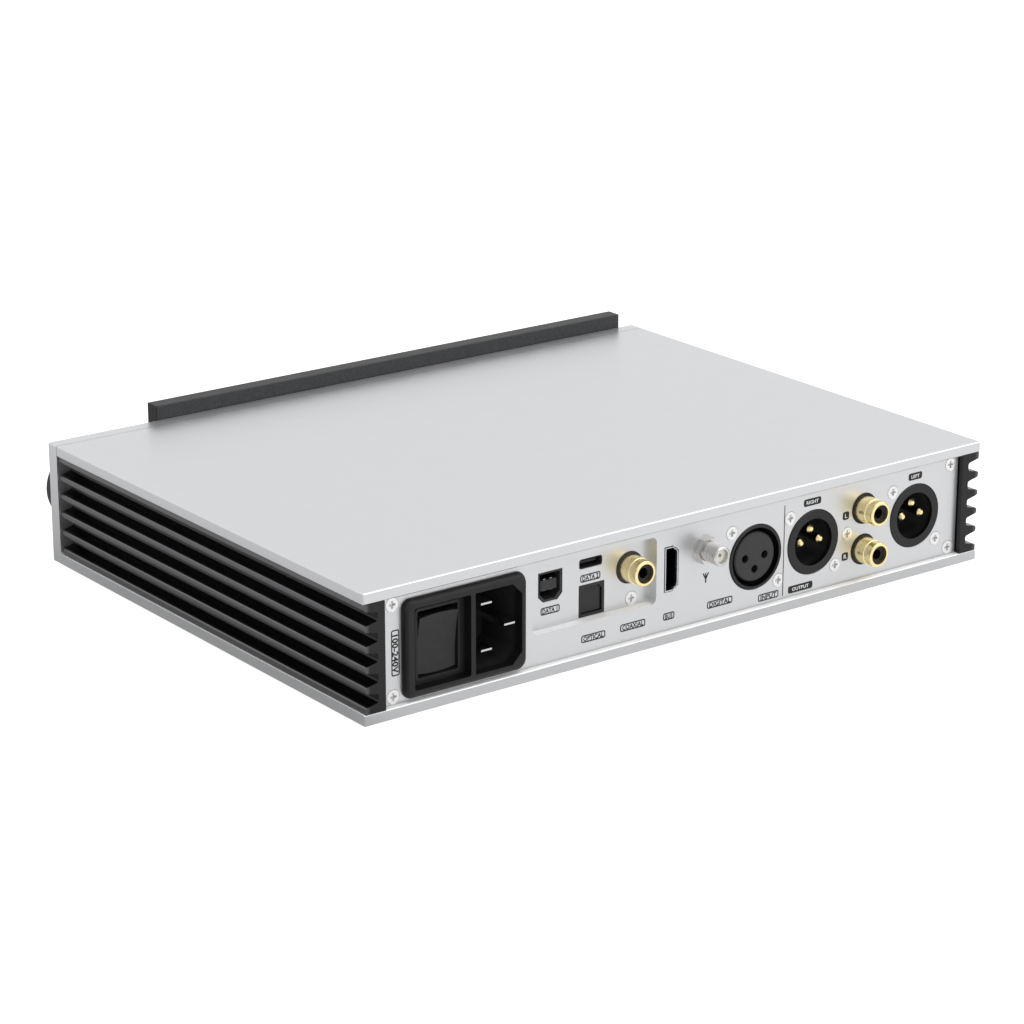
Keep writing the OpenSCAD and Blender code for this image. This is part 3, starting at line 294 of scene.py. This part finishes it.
def silver_metal():
    """Silver anodised aluminium, with painted highlights on its ledges and rear chamfers, and painted
    shade on faces square to Y below the top of the base plate.
    """
    surface = blasted_metal("silver_anodised", (0.635, 0.64, 0.65), 0.34, height=0.003 * MM,
                            speckle=0.02, metallic=0.85)
    # Painted highlight: upward faces below the lid top, the ledges, turn a diffuse near white.
    below_lid = surface.across("Z", LID_TOP - 0.5 * MM, LID_TOP - 1.0 * MM)
    ledges = surface.both(surface.toward((0, 0, 1)), below_lid)
    surface.paint_highlight(ledges, (0.98, 0.98, 0.98), 0.0, 0.5)
    base_top = BASE_Z + BASE_T
    in_base = surface.across("Z", base_top + 1.0 * MM, base_top + 0.2 * MM)
    # Painted shade: faces square to Y below the top of the base plate are darkened to 0.82 of their
    # colour.
    surface.shade(surface.both(surface.facing("Y"), in_base), 0.82)
    # Painted highlight: faces that slant up and back, the rear chamfers, turn pale and less metallic.
    return surface.paint_highlight(surface.toward((0, 1, 1)), (0.95, 0.955, 0.96), 0.3, 0.4)


def deep_socket(surface, gain):
    """Lifts the colour of what lies deep in a socket: painted light, which keeps it from full black."""
    return surface.shade(surface.across("Y", PANEL_Y - 0.5 * MM, PANEL_Y - 2.5 * MM), gain)


def finned_metal():
    """Black anodised extrusion: lighter on the fin tips, with painted shade in the grooves and on the
    saw-cut ends.
    """
    surface = blasted_metal("black_anodised", (0.135, 0.135, 0.14), 0.30, speckle=0.10)
    # Painted shade in the grooves, darkening away from the fin tips.
    surface.shade(surface.across("X", FIN_TIP - 0.6 * MM, FIN_TIP - 1.6 * MM), 0.35)
    # Painted shade on the end faces.
    return surface.shade(surface.facing("Y"), 0.75)


def knob_metal():
    """Black anodised turning with fine rings on its face."""
    surface = blasted_metal("knob_black", (0.040, 0.040, 0.042), 0.30, speckle=0.08)
    return surface.rings(middle("knob"), 0.55 * MM, 0.010 * MM)


def charcoal_metal():
    """Charcoal anodised bar: its broad faces are blasted, with painted shade on its thin top and end
    faces.
    """
    surface = blasted_metal("charcoal_anodised", (0.066, 0.067, 0.069), 0.42, 0.3 * MM, 0.012 * MM, 0.22)
    # Painted shade: the top darkened to 0.3 of the colour, the ends to 0.4.
    return surface.shade(surface.facing("Z"), 0.3).shade(surface.facing("X"), 0.4)


def shell_plate():
    """Tinned shell of a deep socket, with painted shade inside its mouth."""
    surface = sheet_metal("tin_plate", (0.55, 0.56, 0.58), 0.3)
    # Painted shade that deepens from 0.5 to 1.2 mm inside the mouth.
    return surface.shade(surface.across("Y", PANEL_Y - 0.5 * MM, PANEL_Y - 1.2 * MM), 0.12)


def gold_plate(name="gold_plate"):
    """Pale gold flash over nickel, satin from turning."""
    surface = Surface(name, (0.95, 0.78, 0.40), metallic=1.0, roughness=0.27)
    surface.mottle(0.7 * MM, 0.03, other=(0.98, 0.83, 0.46)).sheen_map(1.2 * MM, 0.05)
    return surface.bump(0.5 * MM, 0.0004 * MM, stretch=(1, 3, 1))


def socket_pins():
    """Gold pins with painted shade on their shanks, deep in the socket."""
    surface = gold_plate("socket_pins")
    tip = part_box("xlr_output_pins")[1][1]
    # Painted shade on the shanks, more than half a millimetre behind the tips.
    return surface.shade(surface.across("Y", tip - 0.5 * MM, tip - 1.4 * MM), 0.12)


def cut_thread():
    """Nickel-plated thread, with painted shade at its root."""
    surface = plated("cut_thread", (0.62, 0.61, 0.60), 0.2)
    crest = THREAD_R + 0.165 * MM
    root = THREAD_R + 0.005 * MM
    # Painted shade between the crest and the root of the thread.
    return surface.shade(surface.around(middle("antenna_insert"), crest, root), 0.25)


SLOTS = {
    "silver_anodised": silver_metal(),
    "black_anodised": finned_metal(),
    "charcoal_anodised": charcoal_metal(),
    "dark_steel": sheet_metal("dark_steel", (0.10, 0.10, 0.11), 0.35),
    "bright_steel": sheet_metal("bright_steel", (0.80, 0.80, 0.80), 0.24),
    "foot_rubber": foot_rubber(),
    "display_glass": display_lens(),
    "module_plastic": moulded("module_plastic", (0.04, 0.045, 0.055), 0.4),
    "ribbon_film": moulded("ribbon_film", (0.45, 0.26, 0.07), 0.35),
    "tin_plate": shell_plate(),
    "contact_plastic": moulded("contact_plastic", (0.80, 0.78, 0.72), 0.4, speckle=0.05),
    "circuit_board": circuit_board(),
    # black_plastic and socket_metal carry painted light deep in their sockets.
    "black_plastic": deep_socket(moulded("black_plastic", (0.0055, 0.0055, 0.006), 0.46), 5),
    "switch_plastic": moulded("switch_plastic", (0.014, 0.014, 0.0145), 0.42, 0.3 * MM, 0.006 * MM),
    "nickel_plate": plated("nickel_plate", (0.62, 0.61, 0.60), 0.15),
    "gold_plate": gold_plate(),
    "lead_sleeve": moulded("lead_sleeve", (0.09, 0.07, 0.06), 0.5),
    "socket_metal": deep_socket(
        blasted_metal("socket_metal", (0.040, 0.040, 0.041), 0.38, speckle=0.12), 6),
    "socket_plastic": moulded("socket_plastic", (0.024, 0.024, 0.025), 0.38),
    "chip_resin": moulded("chip_resin", (0.012, 0.012, 0.013), 0.55, 0.15 * MM),
    "capacitor_sleeve": moulded("capacitor_sleeve", (0.012, 0.02, 0.07), 0.3),
    "transformer_core": sheet_metal("transformer_core", (0.10, 0.10, 0.11), 0.5),
    "copper_winding": plated("copper_winding", (0.60, 0.24, 0.08), 0.35, 0.01 * MM),
    "brass_post": plated("brass_post", (0.80, 0.60, 0.28), 0.28),
}
INK = moulded("ink", (0.012, 0.012, 0.012), 0.5, 0.15 * MM, 0.002 * MM, 0.2)
PAPER = moulded("pale_ink", (0.82, 0.82, 0.82), 0.5, 0.15 * MM, 0.002 * MM, 0.04)

# Each CAD node wears its slot's material, except two that have their own version of it
for part in frame["record"]["subparts"]:
    target = nodes[part["node"]]
    target.data.materials.clear()
    target.data.materials.append(SLOTS[part["material_slot"]].material)
nodes["xlr_output_pins"].data.materials[0] = socket_pins().material
nodes["knob"].data.materials[0] = knob_metal().material


# ---- Building helpers ----

def piece(name, mesh, surface, body):
    """A finished piece: a mesh with its material, riding on a body."""
    obj = bpy.data.objects.new(name, mesh)
    scene.collection.objects.link(obj)
    mesh.materials.clear()
    mesh.materials.append(surface.material)
    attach(obj, body)
    return obj


def on_rear(x, z, y=PANEL_Y, turn=0.0):
    """Matrix that lays a flat shape on the rear panel, read from behind. z is from the underside."""
    axes = Matrix(((-1, 0, 0), (0, 0, 1), (0, 1, 0))).transposed().to_4x4()
    return Matrix.Translation((x, y, BASE_Z + z)) @ axes @ Matrix.Rotation(turn, 4, "Z")


def flat_mesh(curve, place):
    """The mesh of a filled curve or a text, moved to its place."""
    holder = bpy.data.objects.new("holder", curve)
    scene.collection.objects.link(holder)
    graph = bpy.context.evaluated_depsgraph_get()
    mesh = bpy.data.meshes.new_from_object(holder.evaluated_get(graph))
    mesh.transform(place)
    bpy.data.objects.remove(holder)
    return mesh


def outline_curve(loops, thickness):
    """A filled flat curve; a loop inside another is a hole."""
    curve = bpy.data.curves.new("outline", "CURVE")
    curve.dimensions = "2D"
    curve.fill_mode = "BOTH"
    curve.extrude = thickness / 2
    for loop in loops:
        spline = curve.splines.new("POLY")
        spline.points.add(len(loop) - 1)
        for point, (x, y) in zip(spline.points, loop):
            point.co = (x, y, 0, 1)
        spline.use_cyclic_u = True
    return curve


def rounded(width, height, radius, steps=6):
    """A rectangle with round corners, round the origin."""
    right = width / 2 - radius
    top = height / 2 - radius
    points = []
    for quarter, (x, y) in enumerate(((right, top), (-right, top), (-right, -top), (right, -top))):
        for i in range(steps + 1):
            angle = (quarter + i / steps) * pi / 2
            points.append((x + radius * cos(angle), y + radius * sin(angle)))
    return points


CAP_SHARE = 0.72                              # cap height of the built-in font, as a share of its size


def lettering(words, height, thickness, weight):
    """Text of a given cap height, centred, its strokes swelled by a share of the height."""
    text = bpy.data.curves.new("lettering", "FONT")
    text.body = words
    text.size = height / CAP_SHARE
    text.align_x = "CENTER"
    text.extrude = thickness / 2
    text.offset = height * weight
    text.space_character = 1.02
    text.resolution_u = 3
    return text


def joined(meshes):
    """One mesh that holds several, with points that coincide merged."""
    bm = bmesh.new()
    for mesh in meshes:
        bm.from_mesh(mesh)
    bmesh.ops.remove_doubles(bm, verts=bm.verts, dist=1e-7)
    result = bpy.data.meshes.new("joined")
    bm.to_mesh(result)
    bm.free()
    return result


# ---- Printed markings on the rear panel ----

FILM = 0.03 * MM                              # thickness of the printed film
FRAME_LINE = 0.42 * MM                        # width of the line round a word
WIDEST = 1.12                                 # how far a word may be stretched to fill its frame
dark_marks = []
pale_marks = []


def label(words, x, z, width, height=2.5, y=PANEL_Y, filled=False, turn=0.0):
    """A word in a rounded frame, or pale on a filled patch. Sizes in millimetres."""
    place = on_rear(x * MM, z * MM, y, turn)
    w = width * MM
    h = height * MM
    corner = 0.75 * MM
    loops = [rounded(w, h, corner)]
    if not filled:
        loops.append(rounded(w - 2 * FRAME_LINE, h - 2 * FRAME_LINE, corner - FRAME_LINE))
    dark_marks.append(flat_mesh(outline_curve(loops, FILM), place))
    cap = h - (1.35 if filled else 1.0) * MM
    shift = Matrix.Translation((0, -cap / 2, FILM if filled else 0))
    text = flat_mesh(lettering(words, cap, FILM, 0.02 if filled else 0.045), Matrix.Identity(4))
    natural = max(v.co.x for v in text.vertices) - min(v.co.x for v in text.vertices)
    stretch = min(WIDEST, (w - 1.6 * MM) / natural)
    text.transform(place @ shift @ Matrix.Diagonal((stretch, 1, 1, 1)))
    (pale_marks if filled else dark_marks).append(text)


def stroke(x0, z0, x1, z1, width, y=PANEL_Y):
    """A straight printed line between two points, in millimetres."""
    start = Vector((x0, z0))
    end = Vector((x1, z1))
    side = (end - start).normalized().orthogonal() * width / 2
    corners = [start + side, end + side, end - side, start - side]
    loop = [(-p.x * MM, p.y * MM) for p in corners]
    dark_marks.append(flat_mesh(outline_curve([loop], FILM), on_rear(0, 0, y)))


label("100-240V", 112.3, 20.0, 14.6, 3.0, turn=-pi / 2)
label("DATA 1", 52.2, 19.3, 7.4, y=POCKET_Y)
label("DATA 2", 36.6, 26.7, 7.9, y=POCKET_Y)
label("OPTICAL", 37.85, 8.3, 9.5)
label("COAXIAL", 22.2, 8.5, 10.1)
label("BUS", 7.65, 8.4, 4.6)
label("DIGITAL", -13.35, 8.4, 10.6)
label("INPUT", -33.85, 6.1, 8.7)
label("OUTPUT", -47.6, 6.1, 10.6, filled=True)
label("RIGHT", -51.85, 34.5, 7.5, filled=True)
label("LEFT", -97.3, 34.4, 6.1, filled=True)
label("L", -66.7, 26.7, 2.8, 2.8, filled=True)
label("R", -66.8, 12.6, 2.8, 2.8, filled=True)

DIVIDER_X = -40                               # the line between the inputs and the outputs
MAST_X = -7.3                                 # the antenna symbol: a mast with three arms
stroke(DIVIDER_X, 4.8, DIVIDER_X, 35.5, 0.35)
for arm in (-1.1, 0, 1.1):
    stroke(MAST_X, 17.6, MAST_X + arm, 19.6, 0.5)
stroke(MAST_X, 16.3, MAST_X, 17.9, 0.55)

piece("rear_markings", joined(dark_marks), INK, "case")
piece("rear_markings_pale", joined(pale_marks), PAPER, "case")


# ---- Antenna socket's thread ----

def antenna_thread():
    """A screw thread swept along a helix on the socket's barrel."""
    centre = middle("antenna_jack")
    start = PANEL_Y + 3.3 * MM                # just past the nut
    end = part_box("antenna_jack")[1][1] - 0.5 * MM
    pitch = 0.72 * MM
    ridge = 0.22 * MM
    per_turn = 24
    run_out = per_turn / 4                    # steps over which the thread fades at either end
    count = int((end - start) / pitch * per_turn)
    bm = bmesh.new()
    rings = []
    for i in range(count + 1):
        angle = 2 * pi * i / per_turn
        y = start + (end - start) * i / count
        out = Vector((cos(angle), 0, sin(angle)))
        on_axis = Vector((centre.x, y, centre.z))
        fade = min(1, i / run_out, (count - i) / run_out)
        root = THREAD_R - ridge * 0.5
        crest = THREAD_R + ridge * fade
        section = ((root, -0.36 * pitch), (crest, -0.06 * pitch),
                   (crest, 0.06 * pitch), (root, 0.36 * pitch))
        rings.append([bm.verts.new(on_axis + out * r + Vector((0, dy, 0))) for r, dy in section])
    for a, b in zip(rings, rings[1:]):
        for k in range(4):
            bm.faces.new((a[k], b[k], b[(k + 1) % 4], a[(k + 1) % 4]))
    bm.faces.new(rings[0])
    bm.faces.new(reversed(rings[-1]))
    bmesh.ops.recalc_face_normals(bm, faces=bm.faces)
    mesh = bpy.data.meshes.new("antenna_thread")
    bm.to_mesh(mesh)
    bm.free()
    return mesh


piece("antenna_thread", antenna_thread(), cut_thread(), "case")


# ---- Contacts that show in the square data socket ----

def contact_row():
    """Two spring contacts with rounded noses on top of the socket's tongue and two under it."""
    tongue = middle("usb_b_socket") + Vector((0, 0, 0.2 * MM))
    nose = POCKET_Y - 1.3 * MM
    width = 1.1 * MM
    length = 5 * MM
    thickness = 0.4 * MM
    meshes = []
    for side, rise in ((-1.25, 1.7), (1.25, 1.7), (-1.25, -1.7), (1.25, -1.7)):
        place = (tongue.x + side * MM, nose - length / 2, tongue.z + rise * MM)
        bm = bmesh.new()
        bmesh.ops.create_cube(bm, size=1)
        bmesh.ops.scale(bm, verts=bm.verts, vec=(width, length, thickness))
        bmesh.ops.bevel(bm, geom=bm.edges[:], offset=0.3 * thickness, segments=2, affect="EDGES",
                        clamp_overlap=True)
        bmesh.ops.translate(bm, verts=bm.verts, vec=place)
        mesh = bpy.data.meshes.new("contact")
        bm.to_mesh(mesh)
        bm.free()
        meshes.append(mesh)
    return joined(meshes)


piece("data_contacts", contact_row(), SLOTS["nickel_plate"], "case")


# ---- Stage, light and camera ----

def ramp(tree, source, low, high, start, end):
    """A value that goes from start to end as the source goes from low to high."""
    node = tree.nodes.new("ShaderNodeMapRange")
    node.interpolation_type = "SMOOTHSTEP"
    for name, value in zip(("From Min", "From Max", "To Min", "To Max"), (low, high, start, end)):
        node.inputs[name].default_value = value
    tree.links.new(source, node.inputs["Value"])
    return node.outputs["Result"]


def pale_floor():
    """A white light table: bright from above, and dimmer on the object's right for what it reflects."""
    surface = Surface("pale_floor", (0.42, 0.42, 0.42), roughness=0.9)
    surface.mottle(0.4, 0.01).sheen_map(0.3, 0.05).bump(0.01, 0.02 * MM)
    path = surface.tree.nodes.new("ShaderNodeLightPath").outputs["Is Camera Ray"]
    split = surface.tree.nodes.new("ShaderNodeSeparateXYZ")
    surface.link(surface.place, split.inputs["Vector"])
    side = LID_SIDE + 10 * MM                 # just past the object's right side
    near = ramp(surface.tree, split.outputs["X"], side - 35 * MM, side, 0.58, 0.08)
    far = ramp(surface.tree, split.outputs["X"], side, side + 85 * MM, 0.0, 0.34)
    total = surface.tree.nodes.new("ShaderNodeMath")
    surface.link(near, total.inputs[0])
    surface.link(far, total.inputs[1])
    glow = total.outputs["Value"]
    mix = surface.tree.nodes.new("ShaderNodeMix")
    mix.inputs["B"].default_value = 0.90
    surface.link(path, mix.inputs["Factor"])
    surface.link(glow, mix.inputs["A"])
    surface.bsdf.inputs["Emission Color"].default_value = (1, 1, 1, 1)
    surface.link(mix.outputs["Result"], surface.bsdf.inputs["Emission Strength"])
    return surface


bpy.ops.mesh.primitive_plane_add(size=40, location=(0, 0, 0))
floor = bpy.context.object
floor.name = "floor"
floor.data.materials.append(pale_floor().material)


def studio_world():
    """Even white surroundings, dimmer towards the object's right."""
    world = bpy.data.worlds.new("studio")
    world.use_nodes = True
    tree = world.node_tree
    split = tree.nodes.new("ShaderNodeSeparateXYZ")
    tree.links.new(tree.nodes.new("ShaderNodeTexCoord").outputs["Generated"], split.inputs["Vector"])
    background = tree.nodes["Background"]
    background.inputs["Color"].default_value = (1, 1, 1, 1)
    tree.links.new(ramp(tree, split.outputs["X"], 0.1, 0.6, 1.0, 0.7), background.inputs["Strength"])
    return world


scene.world = studio_world()


def softbox(name, place, aim, size, power):
    """A large soft area light that points at aim."""
    light = bpy.data.lights.new(name, "AREA")
    light.shape = "RECTANGLE"
    light.size, light.size_y = size
    light.energy = power
    lamp = bpy.data.objects.new(name, light)
    lamp.location = place
    lamp.rotation_euler = (Vector(aim) - Vector(place)).to_track_quat("-Z", "Y").to_euler()
    scene.collection.objects.link(lamp)
    return lamp


# Name, place, aim, size and power in watts
softbox("overhead", (-0.3, 0.2, 1.6), (0, 0, 0), (2.2, 1.8), 3)
softbox("low_back", (-0.85, 1.14, 0.48), (0, 0.09, 0.02), (1.4, 0.6), 0.3)
softbox("high_back", (-0.85, 0.50, 1.14), (0, 0, 0.04), (2.4, 1.4), 7)
softbox("front_side", (0.48, -1.14, 0.85), (0.1, 0, 0.03), (0.6, 0.4), 0.5)

# The camera was solved from the corners of the case in the photo
CAMERA_PLACE = (0.6237, 0.8351, 0.3674)
CAMERA_FORWARD = Vector((-0.5687, -0.7590, -0.3171))
LENS = 114.5                                  # focal length in millimetres, on a 36 mm sensor

camera_data = bpy.data.cameras.new("camera")
camera = bpy.data.objects.new("camera", camera_data)
scene.collection.objects.link(camera)
camera_data.lens = LENS
camera_data.sensor_width = 36
camera_data.clip_end = 100
camera.location = CAMERA_PLACE
camera.rotation_euler = CAMERA_FORWARD.to_track_quat("-Z", "Y").to_euler()
scene.camera = camera
scene.view_settings.view_transform = "Standard"
